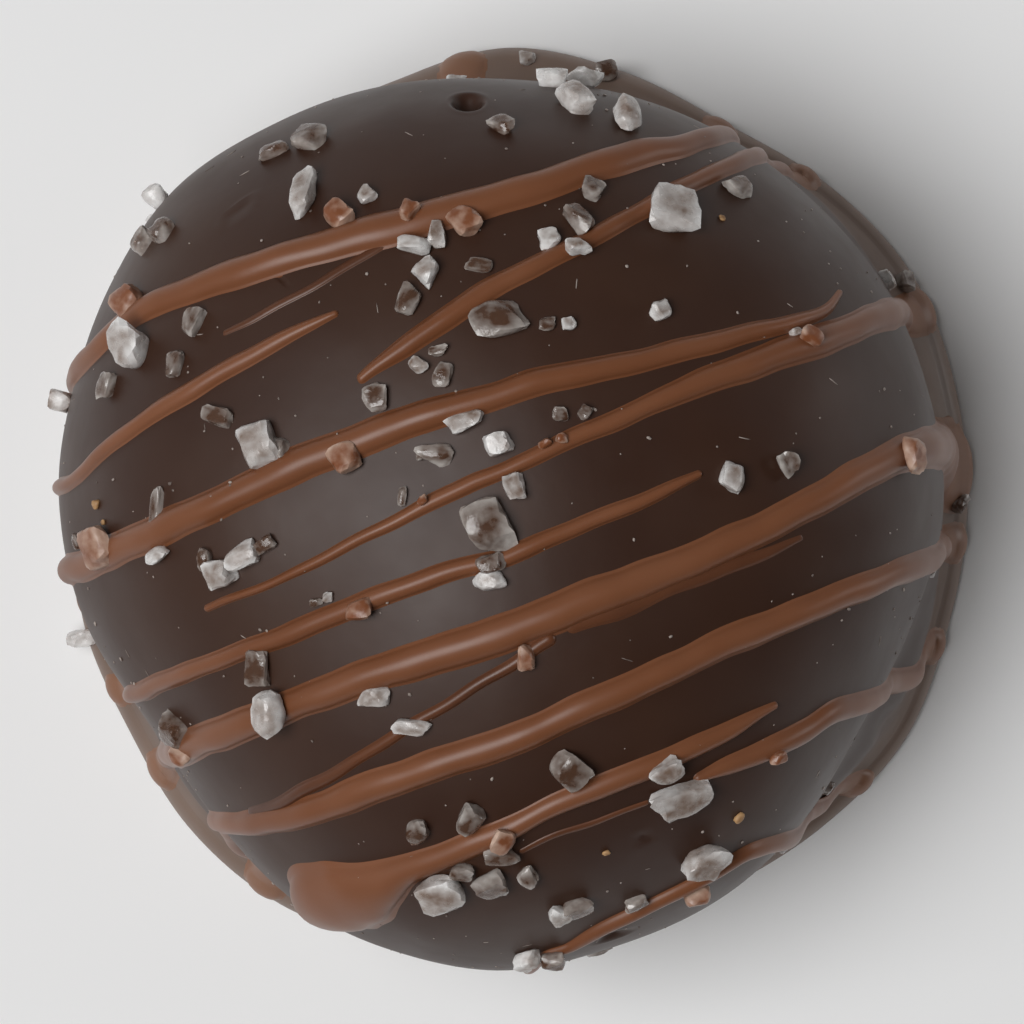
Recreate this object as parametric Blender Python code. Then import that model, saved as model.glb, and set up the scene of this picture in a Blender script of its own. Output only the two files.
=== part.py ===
"""A chocolate truffle: one dark dome on its own spread foot, drizzled with milk chocolate.

The surface is a stack of meridians, one for each direction around the middle. Everything laid
on it is placed on a peeled map: a point's direction on the map is its direction around the
dome, and its distance from the middle of the map is the way it lies down the surface.
"""

import math

import bmesh
import bpy
import numpy as np

for old in list(bpy.data.objects):
    bpy.data.objects.remove(old, do_unlink=True)

MM = 0.001  # lengths below are millimetres, the scene is in metres

# Dome and foot. The three outlines are radii every 15 degrees, anticlockwise from +X.
HEIGHT = 26.0
EQUATOR_Z = 11.5
SHOULDER_POWER = 2.15  # 2 makes the crown a half ellipse, more makes squarer shoulders
DOME_REACH = (17.3, 17.5, 17.6, 17.5, 17.4, 17.3, 17.2, 17.5, 17.9, 18.45, 18.35, 18.1,
              17.95, 17.4, 16.6, 16.8, 17.5, 18.0, 18.4, 17.95, 17.6, 17.0, 16.5, 16.6)
NECK_REACH = (17.8, 17.9, 18.1, 18.1, 17.6, 16.8, 16.4, 16.6, 17.1, 17.3, 17.2, 17.1,
              17.0, 16.9, 17.1, 17.5, 17.5, 17.4, 17.3, 17.1, 17.1, 17.5, 17.9, 17.9)
FOOT_REACH = (19.4, 19.6, 19.75, 19.3, 18.8, 19.2, 19.55, 18.8, 18.6, 19.3, 18.7, 18.2,
              18.2, 18.45, 18.4, 18.9, 19.1, 18.8, 18.4, 18.3, 18.3, 18.75, 19.3, 19.2)
NECK_Z = 4.8
FOOT_TOP_Z = 2.0
FOOT_RIM = 0.7  # how far in from the edge the foot's top starts to round over
MERIDIANS = 76
CROWN_ROWS, WALL_ROWS, FILLET_ROWS, RIM_ROWS, BASE_ROWS = 13, 5, 6, 4, 3

# Drizzle. A strand stands less than half as high as it is wide, and wide pools level off.
DRIZZLE_GAP = 0.06  # clearance between the shell and a strand's underside
DRIZZLE_FULL_HEIGHT = 1.1
DRIZZLE_LEVELLING = 2.2
STATION_STEP = 1.7
STATION_STEP_AT_FOOT = 0.5
NOSE_SHARES = (0.4, 0.8)  # how much of its size a strand has at its very end and just inside it
SECTION = ((-1.0, 0.0), (-0.72, 0.68), (0.0, 1.0), (0.72, 0.68), (1.0, 0.0), (0.0, 0.0))

DARK = (0.034, 0.013, 0.007, 1.0)
MILK = (0.174, 0.054, 0.019, 1.0)


def around(reach, angle):
    """A smooth closed curve through radii given at equal steps, read at angles in radians."""
    reach = np.asarray(reach)
    step = np.asarray(angle) / (2.0 * math.pi) * len(reach)
    index = np.floor(step).astype(int)
    f = step - index
    a, b, c, d = (reach[(index + k) % len(reach)] for k in (-1, 0, 1, 2))
    return b + 0.5 * f * (c - a + f * (2 * a - 5 * b + 4 * c - d + f * (3 * b - a - 3 * c + d)))


def bezier(f, *controls):
    """A cubic curve's value at f, for one coordinate."""
    a, b, c, d = controls
    g = 1.0 - f
    return g ** 3 * a + 3 * g * g * f * b + 3 * g * f * f * c + f ** 3 * d


def meridian(angle, t):
    """Radius and height: t runs 0-1 crown, 1-2 wall, 2-3 fillet, 3-4 rim, 4-5 flat base."""
    angle, t = np.broadcast_arrays(np.asarray(angle, float), np.asarray(t, float))
    dome, neck, foot = (around(reach, angle) for reach in (DOME_REACH, NECK_REACH, FOOT_REACH))
    f = t - np.floor(t)
    turn = np.clip(t, 0.0, 1.0) * math.pi / 2
    power = 2.0 / SHOULDER_POWER
    ledge = foot - FOOT_RIM
    radius = np.select(
        [t <= 1, t < 2, t < 3, t < 4],
        [dome * np.sin(turn) ** power,
         bezier(f, dome, dome, neck, neck),
         bezier(f, neck, neck + 0.1, neck * 0.5 + ledge * 0.5, ledge),
         bezier(f, ledge, foot - 0.05, foot + 0.05, foot - 0.25)],
        (foot - 0.25) * (5.0 - t))
    height = np.select(
        [t <= 1, t < 2, t < 3, t < 4],
        [EQUATOR_Z + (HEIGHT - EQUATOR_Z) * np.abs(np.cos(turn)) ** power,
         bezier(f, EQUATOR_Z, EQUATOR_Z - 3.6, NECK_Z + 3.0, NECK_Z),
         bezier(f, NECK_Z, NECK_Z - 1.4, FOOT_TOP_Z + 0.5, FOOT_TOP_Z),
         bezier(f, FOOT_TOP_Z, FOOT_TOP_Z - 0.25, 0.6, 0.0)],
        0.0)
    return radius, height


def point(angle, t):
    radius, height = meridian(angle, t)
    return np.stack((radius * np.cos(angle), radius * np.sin(angle), height), axis=-1)


# The peeled map's scale: how far down the surface each t lies, on a meridian of middling size.
RULER_T = np.linspace(0.0, 4.0, 801)
_radius, RULER_Z = meridian(math.radians(150.0), RULER_T)
RULER = np.concatenate(([0.0], np.cumsum(np.hypot(np.diff(_radius), np.diff(RULER_Z)))))


def crown(x, y):
    """Map point for a place on the crown, given as it is seen from above."""
    angle = math.atan2(y, x)
    share = math.hypot(x, y) / float(around(DOME_REACH, angle))
    t = math.asin(min(share, 1.0) ** (SHOULDER_POWER / 2.0)) / (math.pi / 2)
    way = float(np.interp(t, RULER_T, RULER))
    return way * math.cos(angle), way * math.sin(angle)


def wall(degrees, z):
    """Map point for a place on the wall, by its direction and height."""
    way = float(np.interp(-z, -RULER_Z, RULER))
    return way * math.cos(math.radians(degrees)), way * math.sin(math.radians(degrees))


def surface(u, v):
    """The point of the shell that a map point stands for."""
    return point(np.arctan2(v, u), np.interp(np.hypot(u, v), RULER, RULER_T))


def grip(u, v):
    """Surface point, its two map directions in space, and the outward normal."""
    near = 0.01
    along_u = (surface(u + near, v) - surface(u - near, v)) / (2 * near)
    along_v = (surface(u, v + near) - surface(u, v - near)) / (2 * near)
    normal = np.cross(along_u, along_v)
    return surface(u, v), along_u, along_v, normal / np.linalg.norm(normal, axis=-1, keepdims=True)


# Each strand: map points in order along it, with the strand's width there.
STRANDS = {
    "drizzle_01": ((wall(167, 3.2), 0.7), (wall(165, 8.0), 0.95), (crown(-16.5, 6.2), 1.0),
                   (crown(-13.8, 8.0), 1.1), (crown(-9.4, 9.5), 1.25), (crown(-4.8, 10.7), 1.4),
                   (crown(-1.0, 11.65), 1.4), (crown(2.0, 12.6), 1.35), (crown(5.1, 13.8), 1.25),
                   (crown(7.3, 14.4), 1.0), (wall(59, 11.0), 0.9), (wall(60, 6.0), 0.9),
                   (wall(61, 2.6), 1.2), (wall(61, 1.2), 1.8)),
    "drizzle_02": ((wall(179, 5.5), 0.45), (wall(177.5, 9.0), 0.55), (crown(-17.2, 1.2), 0.6),
                   (crown(-15.7, 2.3), 0.65), (crown(-12.5, 4.4), 0.7), (crown(-9.3, 6.2), 0.65),
                   (crown(-6.4, 7.6), 0.25)),
    "drizzle_03": ((crown(-5.6, 4.9), 0.35), (crown(-3.3, 6.6), 0.8), (crown(-0.3, 8.5), 0.8),
                   (crown(2.8, 10.1), 0.7), (crown(5.1, 11.5), 0.65), (crown(8.3, 13.3), 0.75),
                   (crown(9.5, 13.9), 0.8), (wall(54, 11.0), 0.8), (wall(51, 6.0), 0.85),
                   (wall(49, 2.6), 1.2), (wall(48, 1.2), 1.8)),
    "drizzle_04": ((wall(192, 1.2), 1.8), (wall(191, 2.6), 1.3), (wall(189.5, 6.0), 1.05),
                   (wall(188, 11.0), 1.05), (crown(-16.4, -2.0), 1.1), (crown(-12.8, -0.5), 1.15),
                   (crown(-7.8, 1.8), 1.2), (crown(-4.0, 3.3), 1.1), (crown(0.5, 4.6), 0.95),
                   (crown(5.0, 5.7), 0.85), (crown(8.8, 6.7), 0.7), (crown(10.8, 7.2), 0.55),
                   (crown(12.1, 7.7), 0.4), (crown(12.9, 8.5), 0.25)),
    "drizzle_05": ((crown(-11.5, -3.7), 0.25), (crown(-7.8, -2.2), 0.35),
                   (crown(-5.1, -0.8), 0.42), (crown(-2.5, 0.5), 0.55), (crown(0.5, 1.8), 0.6),
                   (crown(3.5, 3.2), 0.65), (crown(6.9, 4.7), 0.85), (crown(10.4, 6.0), 1.05),
                   (crown(13.6, 7.2), 1.1), (wall(27, 11.0), 1.1), (wall(26.5, 6.0), 1.25),
                   (wall(26, 2.6), 1.8), (wall(26, 1.1), 2.2)),
    "drizzle_06": ((wall(204, 1.2), 1.5), (wall(205, 2.6), 1.0), (wall(206, 6.0), 0.7),
                   (wall(206, 11.0), 0.65), (crown(-13.4, -6.6), 0.7), (crown(-9.8, -5.2), 0.7),
                   (crown(-6.3, -3.8), 0.75), (crown(-3.3, -2.6), 0.7), (crown(-0.6, -1.8), 0.65),
                   (crown(2.0, -0.8), 0.6), (crown(5.0, 0.4), 0.55), (crown(7.4, 1.5), 0.25)),
    "drizzle_07": ((wall(217, 1.2), 1.8), (wall(216.5, 2.6), 1.4), (wall(215.5, 6.5), 1.1),
                   (wall(215.5, 11.5), 1.1), (crown(-11.9, -8.9), 1.15), (crown(-8.6, -7.5), 1.15),
                   (crown(-5.5, -6.3), 1.2), (crown(-1.0, -4.8), 1.3), (crown(2.0, -3.7), 1.35),
                   (crown(5.0, -2.6), 1.3), (crown(8.8, -1.1), 1.2), (crown(11.9, 0.5), 1.1),
                   (crown(15.2, 2.2), 1.1), (wall(8.5, 11.5), 1.3), (wall(7.0, 6.0), 1.8),
                   (wall(5.5, 2.6), 2.7), (wall(5, 0.8), 3.0)),
    "drizzle_08": ((wall(238, 1.2), 2.2), (wall(236, 2.6), 1.6), (wall(231, 6.5), 1.0),
                   (wall(227, 11.5), 0.95), (crown(-11.0, -12.2), 0.95), (crown(-7.9, -11.5), 1.1),
                   (crown(-4.8, -10.3), 1.2), (crown(-1.8, -9.2), 1.2), (crown(1.2, -8.1), 1.1),
                   (crown(4.2, -6.8), 1.1), (crown(7.3, -5.4), 1.15), (crown(10.4, -4.2), 1.1),
                   (crown(13.6, -2.9), 1.1), (crown(15.6, -2.2), 1.1), (wall(355, 10.0), 1.1),
                   (wall(355.5, 5.5), 1.15), (wall(356, 2.6), 1.4), (wall(356, 1.2), 1.7)),
    "drizzle_09": ((crown(-7.9, -15.2), 1.4), (crown(-7.3, -15.2), 2.9), (crown(-6.6, -14.9), 3.7),
                   (crown(-5.8, -14.6), 3.3), (crown(-5.0, -14.2), 2.3), (crown(-4.1, -13.7), 1.5),
                   (crown(-3.1, -13.3), 1.15), (crown(-1.0, -12.4), 1.0), (crown(1.6, -11.2), 0.9),
                   (crown(5.0, -9.8), 0.9), (crown(8.3, -8.4), 0.75), (crown(10.4, -7.4), 0.3)),
    "drizzle_10": ((crown(7.1, -10.2), 0.35), (crown(8.9, -9.5), 0.85), (crown(11.4, -8.5), 1.0),
                   (crown(13.2, -7.6), 1.05), (wall(334.5, 12.0), 1.05), (wall(337, 7.5), 1.05),
                   (wall(340, 4.0), 1.1), (wall(342, 2.4), 1.3), (wall(343, 1.2), 1.6)),
    "drizzle_11": ((wall(272, 10.5), 0.4), (crown(1.3, -17.6), 0.55), (crown(2.6, -17.0), 0.65),
                   (crown(4.6, -15.8), 0.8), (crown(8.2, -13.8), 0.85), (crown(9.9, -13.0), 0.9),
                   (wall(313, 11.5), 0.9), (wall(317, 6.0), 0.9), (wall(321, 2.8), 1.1),
                   (wall(323, 1.2), 1.5)),
    "drizzle_12": ((wall(101, 9.5), 0.4), (wall(99.5, 6.5), 0.75), (wall(97, 3.2), 1.4),
                   (wall(95, 1.1), 2.4)),
}


def material(name, colour, roughness):
    made = bpy.data.materials.new(name)
    made.use_nodes = True
    shader = made.node_tree.nodes["Principled BSDF"]
    shader.inputs["Base Color"].default_value = colour
    shader.inputs["Roughness"].default_value = roughness
    made.diffuse_color = colour
    return made


def solid(name, points, faces, finish):
    """One smooth-shaded object from points in millimetres, its faces turned outwards."""
    mesh = bpy.data.meshes.new(name)
    mesh.from_pydata([tuple(p) for p in np.asarray(points) * MM], [], faces)
    tidy = bmesh.new()
    tidy.from_mesh(mesh)
    bmesh.ops.recalc_face_normals(tidy, faces=tidy.faces)
    tidy.to_mesh(mesh)
    tidy.free()
    mesh.shade_smooth()
    mesh.set_sharp_from_angle(angle=math.radians(50.0))
    mesh.materials.append(finish)
    bpy.context.scene.collection.objects.link(bpy.data.objects.new(name, mesh))


def shell(finish):
    """The dome and its foot, as rings from the crown's pole round to the middle of the base."""
    rows = [np.linspace(start, start + 1, count, endpoint=False) for start, count in
            enumerate((CROWN_ROWS, WALL_ROWS, FILLET_ROWS, RIM_ROWS, BASE_ROWS))]
    rows = np.concatenate(rows)[1:]
    angle = np.arange(MERIDIANS) * 2 * math.pi / MERIDIANS
    grid = point(angle[None, :], rows[:, None]).reshape(-1, 3)
    points = np.vstack((grid, [(0.0, 0.0, HEIGHT), (0.0, 0.0, 0.0)]))
    top, bottom = len(grid), len(grid) + 1
    last = len(rows) - 1
    faces = []
    for i in range(MERIDIANS):
        j = (i + 1) % MERIDIANS
        faces.append((top, i, j))
        faces.append((bottom, last * MERIDIANS + j, last * MERIDIANS + i))
        for row in range(last):
            upper, lower = row * MERIDIANS, (row + 1) * MERIDIANS
            faces.append((upper + i, lower + i, lower + j, upper + j))
    solid("shell", points, faces, finish)


def smooth_route(knots, per_span=24):
    """Map points and widths along a smooth curve through a strand's knots."""
    knots = np.array([(u, v, width) for (u, v), width in knots])
    padded = np.vstack((2 * knots[0] - knots[1], knots, 2 * knots[-1] - knots[-2]))
    f = (np.arange(per_span) / per_span)[:, None]
    spans = []
    for a, b, c, d in zip(padded, padded[1:], padded[2:], padded[3:]):
        bend = 2 * a - 5 * b + 4 * c - d + f * (3 * b - a - 3 * c + d)
        spans.append(b + 0.5 * f * (c - a + f * bend))
    return np.vstack(spans + [knots[-1:]])


def strand(name, knots, finish):
    """A low rounded ridge that follows its route over the shell, with a rounded nose each end."""
    route = smooth_route(knots)
    path = surface(route[:, 0], route[:, 1])
    way = np.concatenate(([0.0], np.cumsum(np.linalg.norm(np.diff(path, axis=0), axis=1))))
    low = path[:, 2] < NECK_Z + 1.2
    wide = route[:, 2] > 1.6
    step = np.where(low | wide, STATION_STEP_AT_FOOT, STATION_STEP)
    ticks = np.concatenate(([0.0], np.cumsum(np.diff(way) / step[1:])))
    stops = np.interp(np.linspace(0.0, ticks[-1], max(4, round(ticks[-1]) + 1)), ticks, way)
    noses = (0.3 * route[0, 2], 0.3 * route[-1, 2])
    middle = stops[(stops > 2 * noses[0]) & (stops < way[-1] - 2 * noses[1])]
    stops = np.concatenate(([0.0, 0.4 * noses[0], noses[0]], middle,
                            [way[-1] - noses[1], way[-1] - 0.4 * noses[1], way[-1]]))
    u, v, width = (np.interp(stops, way, route[:, k]) for k in range(3))
    share = np.ones(len(stops))
    share[:2] = NOSE_SHARES
    share[-2:] = NOSE_SHARES[::-1]
    width = width * share
    ridge = DRIZZLE_FULL_HEIGHT * (1 - np.exp(-width / DRIZZLE_LEVELLING)) * share

    at, along_u, along_v, normal = grip(u, v)
    forward = np.gradient(at, axis=0)
    side = np.cross(normal, forward)
    side /= np.linalg.norm(side, axis=1, keepdims=True)
    uu, uv, vv = ((along_u * along_u).sum(1), (along_u * along_v).sum(1), (along_v * along_v).sum(1))
    su, sv = (side * along_u).sum(1), (side * along_v).sum(1)
    span = uu * vv - uv * uv
    du, dv = (su * vv - sv * uv) / span, (sv * uu - su * uv) / span

    rings = []
    for across, up in SECTION:
        half = across * width / 2
        foot, _, _, outward = grip(u + half * du, v + half * dv)
        rings.append(foot + outward * (DRIZZLE_GAP + ridge * up)[:, None])
    points = np.stack(rings, axis=1).reshape(-1, 3)
    sides = len(SECTION)
    faces = [tuple(range(sides)), tuple((len(stops) - 1) * sides + k for k in reversed(range(sides)))]
    for i in range(len(stops) - 1):
        for k in range(sides):
            m = (k + 1) % sides
            faces.append((i * sides + k, (i + 1) * sides + k, (i + 1) * sides + m, i * sides + m))
    solid(name, points, faces, finish)


shell(material("dark_chocolate", DARK, 0.38))
for strand_name, strand_knots in STRANDS.items():
    strand(strand_name, strand_knots, material("milk_" + strand_name, MILK, 0.34))
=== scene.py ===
import math

import bmesh
import bpy
import numpy as np
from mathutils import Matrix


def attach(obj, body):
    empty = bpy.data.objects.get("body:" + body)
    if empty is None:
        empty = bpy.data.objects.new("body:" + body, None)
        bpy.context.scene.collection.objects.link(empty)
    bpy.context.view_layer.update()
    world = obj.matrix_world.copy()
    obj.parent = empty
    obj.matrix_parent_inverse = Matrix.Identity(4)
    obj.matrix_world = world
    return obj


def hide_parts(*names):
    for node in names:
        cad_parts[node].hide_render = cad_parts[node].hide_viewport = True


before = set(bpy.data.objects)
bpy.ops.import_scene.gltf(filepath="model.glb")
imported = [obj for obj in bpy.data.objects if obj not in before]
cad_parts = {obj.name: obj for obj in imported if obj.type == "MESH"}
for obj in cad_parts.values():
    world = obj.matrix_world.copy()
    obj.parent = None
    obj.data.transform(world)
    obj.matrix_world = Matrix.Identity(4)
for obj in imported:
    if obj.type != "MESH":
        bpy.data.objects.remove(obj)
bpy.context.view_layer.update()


# Dark chocolate shell. A soft centre was dipped in dark couverture and set down on a tray, so
# the coat runs down in one skin from the crown to a thin foot that spread while it was wet.
# It set with low swells, one burst air bubble, a long dimple and a few pinholes.

MM = 0.001
HEIGHT = 26.0
EQUATOR_Z = 11.5
SHOULDER_POWER = 2.15
NECK_Z = 4.8
FOOT_TOP_Z = 2.0
FOOT_RIM = 0.7
DOME_REACH = (17.3, 17.5, 17.6, 17.5, 17.4, 17.3, 17.2, 17.5, 17.9, 18.45, 18.35, 18.1,
              17.95, 17.4, 16.6, 16.8, 17.5, 18.0, 18.4, 17.95, 17.6, 17.0, 16.5, 16.6)
NECK_REACH = (17.8, 17.9, 18.1, 18.1, 17.6, 16.8, 16.4, 16.6, 17.1, 17.3, 17.2, 17.1,
              17.0, 16.9, 17.1, 17.5, 17.5, 17.4, 17.3, 17.1, 17.1, 17.5, 17.9, 17.9)
FOOT_REACH = (19.4, 19.6, 19.75, 19.3, 18.8, 19.2, 19.55, 18.8, 18.6, 19.3, 18.7, 18.2,
              18.2, 18.45, 18.4, 18.9, 19.1, 18.8, 18.4, 18.3, 18.3, 18.75, 19.3, 19.2)


def linear(*srgb):
    """A display colour, 0-255, as the linear colour that a shader takes."""
    share = [c / 255.0 for c in srgb]
    return tuple(c / 12.92 if c < 0.04045 else ((c + 0.055) / 1.055) ** 2.4 for c in share) + (1.0,)


def around(reach, angle):
    """A smooth closed curve through radii given at equal steps, read at angles in radians."""
    reach = np.asarray(reach)
    step = np.asarray(angle) / (2.0 * math.pi) * len(reach)
    index = np.floor(step).astype(int)
    f = step - index
    a, b, c, d = (reach[(index + k) % len(reach)] for k in (-1, 0, 1, 2))
    return b + 0.5 * f * (c - a + f * (2 * a - 5 * b + 4 * c - d + f * (3 * b - a - 3 * c + d)))


def bezier(f, a, b, c, d):
    g = 1.0 - f
    return g ** 3 * a + 3 * g * g * f * b + 3 * g * f * f * c + f ** 3 * d


def meridian(angle, t):
    """Radius and height: t runs 0-1 crown, 1-2 wall, 2-3 fillet, 3-4 rim, 4-5 flat base."""
    angle, t = np.broadcast_arrays(np.asarray(angle, float), np.asarray(t, float))
    dome, neck, foot = (around(reach, angle) for reach in (DOME_REACH, NECK_REACH, FOOT_REACH))
    f = t - np.floor(t)
    turn = np.clip(t, 0.0, 1.0) * math.pi / 2
    power = 2.0 / SHOULDER_POWER
    ledge = foot - FOOT_RIM
    radius = np.select(
        [t <= 1, t < 2, t < 3, t < 4],
        [dome * np.sin(turn) ** power,
         bezier(f, dome, dome, neck, neck),
         bezier(f, neck, neck + 0.1, neck * 0.5 + ledge * 0.5, ledge),
         bezier(f, ledge, foot - 0.05, foot + 0.05, foot - 0.25)],
        (foot - 0.25) * (5.0 - t))
    height = np.select(
        [t <= 1, t < 2, t < 3, t < 4],
        [EQUATOR_Z + (HEIGHT - EQUATOR_Z) * np.abs(np.cos(turn)) ** power,
         bezier(f, EQUATOR_Z, EQUATOR_Z - 3.6, NECK_Z + 3.0, NECK_Z),
         bezier(f, NECK_Z, NECK_Z - 1.4, FOOT_TOP_Z + 0.5, FOOT_TOP_Z),
         bezier(f, FOOT_TOP_Z, FOOT_TOP_Z - 0.25, 0.6, 0.0)],
        0.0)
    return radius, height


# The low swells of a hand-dipped coat: sine waves of several sizes that cross each other.
wave_dice = np.random.default_rng(11)
WAVES = []
for wavelength, swell in ((21.0, 0.10), (13.0, 0.06), (8.0, 0.035), (4.6, 0.016)):
    for _ in range(4):
        way = wave_dice.normal(size=3)
        way = way / np.linalg.norm(way) * 2 * math.pi / wavelength
        WAVES.append((way, wave_dice.uniform(0, 2 * math.pi), swell / 2))


def point(angle, t):
    """A point of the coat, with its swells but without its dents."""
    radius, height = meridian(angle, t)
    at = np.stack((radius * np.cos(angle), radius * np.sin(angle), height), axis=-1)
    swell = sum(size * np.sin(at @ way + phase) for way, phase, size in WAVES)
    outward = at - (0.0, 0.0, 8.0)
    outward /= np.linalg.norm(outward, axis=-1, keepdims=True)
    grip_on_tray = np.clip((at[..., 2:] - 0.3) / 3.0, 0.0, 1.0)
    return at + outward * swell[..., None] * grip_on_tray


RULER_T = np.linspace(0.0, 4.0, 1601)
ruler_radius, RULER_Z = meridian(math.radians(150.0), RULER_T)
RULER = np.concatenate(([0.0], np.cumsum(np.hypot(np.diff(ruler_radius), np.diff(RULER_Z)))))


def crown(x, y):
    """Map point for a place on the crown, given as it is seen from above."""
    angle = math.atan2(y, x)
    share = math.hypot(x, y) / float(around(DOME_REACH, angle))
    t = math.asin(min(share, 1.0) ** (SHOULDER_POWER / 2.0)) / (math.pi / 2)
    way = float(np.interp(t, RULER_T, RULER))
    return way * math.cos(angle), way * math.sin(angle)


def wall(degrees, z):
    """Map point for a place on the wall or the foot, by its direction and height."""
    way = float(np.interp(-z, -RULER_Z, RULER))
    return way * math.cos(math.radians(degrees)), way * math.sin(math.radians(degrees))


def surface(u, v):
    """The point of the coat that a map point stands for."""
    return point(np.arctan2(v, u), np.interp(np.hypot(u, v), RULER, RULER_T))


def grip(u, v):
    """Surface point, its two map directions in space, and the outward normal."""
    near = 0.01
    along_u = (surface(u + near, v) - surface(u - near, v)) / (2 * near)
    along_v = (surface(u, v + near) - surface(u, v - near)) / (2 * near)
    normal = np.cross(along_u, along_v)
    return surface(u, v), along_u, along_v, normal / np.linalg.norm(normal, axis=-1, keepdims=True)


# Dents: map point, half length, half width, turn of the long side, depth, height of the lip.
DENTS = (
    (crown(-1.5, 15.8), 0.55, 0.72, 5.0, 0.62, 0.03),
    (crown(-10.4, 11.7), 0.72, 0.26, 50.0, 0.06, 0.02),
    (crown(-8.6, 8.9), 0.12, 0.10, 0.0, 0.12, 0.0),
    (crown(5.2, -12.5), 0.20, 0.16, 20.0, 0.14, 0.0),
    (wall(331, 6.0), 0.8, 1.6, 60.0, 0.22, 0.0),
    (wall(318, 7.5), 1.2, 2.2, 70.0, 0.16, 0.0),
    (wall(12, 7.0), 1.0, 2.6, 85.0, 0.14, 0.0),
    (wall(118, 8.5), 0.5, 0.4, 10.0, 0.25, 0.02),
    (wall(262, 6.4), 1.6, 0.9, 15.0, 0.14, 0.0),
)


def dented(at):
    """How far each point of the coat is pressed in, in millimetres along its normal."""
    press = np.zeros(at.shape[:-1])
    for (u, v), long, wide, turn, depth, lip in DENTS:
        middle, _, _, normal = grip(np.array([u]), np.array([v]))
        heading = np.array([math.cos(math.radians(turn)), math.sin(math.radians(turn)), 0.0])
        along = heading - normal[0] * (heading @ normal[0])
        along /= np.linalg.norm(along)
        across = np.cross(normal[0], along)
        reach = at - middle[0]
        away = np.hypot(reach @ along / long, reach @ across / wide)
        press -= depth * np.exp(-away ** 4)
        press += lip * np.exp(-((away - 1.35) / 0.3) ** 2)
    return press


def spread(start, end, count, *close_ups):
    """Even steps from start to end, with extra ones in each (from, to, count) close-up."""
    steps = [np.linspace(start, end, count, endpoint=False)]
    steps += [np.linspace(a, b, n) for a, b, n in close_ups]
    return np.unique(np.round(np.concatenate(steps), 6))


def mesh_piece(name, points, faces, finish):
    """A smooth mesh from points in millimetres, linked to the scene with its material."""
    mesh = bpy.data.meshes.new(name)
    mesh.from_pydata((np.asarray(points) * MM).tolist(), [], faces)
    mesh.materials.append(finish)
    mesh.shade_smooth()
    piece = bpy.data.objects.new(name, mesh)
    bpy.context.scene.collection.objects.link(piece)
    return piece


def coat_mesh():
    """Grid points and faces of the coat, finest where the bubble and the dimple are."""
    turn = math.radians
    angles = spread(0.0, 2 * math.pi, 300, (turn(92.5), turn(98.5), 44), (turn(126.5), turn(136), 36))
    rows = np.concatenate((spread(0.0, 1.0, 84, (0.655, 0.85, 48)), spread(1.0, 2.0, 30),
                           spread(2.0, 3.0, 20), spread(3.0, 4.0, 12), spread(4.0, 5.0, 3)))[1:]
    grid = point(angles[None, :], rows[:, None])
    outward = np.cross(np.gradient(grid, axis=0), np.gradient(grid, axis=1))
    outward /= np.linalg.norm(outward, axis=-1, keepdims=True)
    outward *= np.sign(outward[0, 0, 2])
    press = np.where(rows[:, None] < 3.0, dented(grid), 0.0)
    grid = (grid + outward * press[..., None]).reshape(-1, 3)
    crown_top = point(np.array([0.0]), np.array([0.0]))
    points = np.vstack((grid, crown_top, [(0.0, 0.0, 0.0)]))
    top, bottom, count = len(grid), len(grid) + 1, len(angles)
    faces = []
    for i in range(count):
        j = (i + 1) % count
        faces.append((top, i, j))
        faces.append((bottom, (len(rows) - 1) * count + j, (len(rows) - 1) * count + i))
    for row in range(len(rows) - 1):
        upper, lower = row * count, (row + 1) * count
        for i in range(count):
            j = (i + 1) % count
            faces.append((upper + i, lower + i, lower + j, upper + j))
    return points, faces


def new_group(name, inputs, outputs):
    """An empty shader group with named sockets: each is (name, kind, default)."""
    group = bpy.data.node_groups.new(name, "ShaderNodeTree")
    for label, kind, value in inputs:
        socket = group.interface.new_socket(label, in_out="INPUT", socket_type=kind)
        socket.default_value = value
    for label, kind in outputs:
        group.interface.new_socket(label, in_out="OUTPUT", socket_type=kind)
    return group, group.nodes.new("NodeGroupInput"), group.nodes.new("NodeGroupOutput")


def noise_node(tree, vector, scale, detail):
    """Soft noise over a place, between 0 and 1."""
    noise = tree.nodes.new("ShaderNodeTexNoise")
    noise.inputs["Scale"].default_value = scale
    noise.inputs["Detail"].default_value = detail
    tree.links.new(vector, noise.inputs["Vector"])
    return noise.outputs["Fac"]


def ranged(tree, value, low, high, out_low, out_high):
    """value's stretch from low to high turned into out_low to out_high, and held there.

    The ends are numbers or sockets.
    """
    node = tree.nodes.new("ShaderNodeMapRange")
    tree.links.new(value, node.inputs["Value"])
    for label, end in (("From Min", low), ("From Max", high), ("To Min", out_low), ("To Max", out_high)):
        if isinstance(end, bpy.types.NodeSocket):
            tree.links.new(end, node.inputs[label])
        else:
            node.inputs[label].default_value = end
    return node.outputs["Result"]


def blended(tree, share, first, second):
    """A colour mixed from two sockets or colours by a share."""
    mix = tree.nodes.new("ShaderNodeMix")
    mix.data_type = "RGBA"
    tree.links.new(share, mix.inputs[0])
    for colour, socket in ((first, mix.inputs[6]), (second, mix.inputs[7])):
        if isinstance(colour, tuple):
            socket.default_value = colour
        else:
            tree.links.new(colour, socket)
    return mix.outputs[2]


# Low down the coat is paler: partly a bloom where it was thin and cooled on the tray, partly painted
# light for what the white board reflects onto the foot. Paler from the first height down, fully at the
# second.
PALE_BLOOM_AND_LIGHT_TOP_Z = 6.5
PALE_BLOOM_AND_LIGHT_FULL_Z = 1.5


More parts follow.
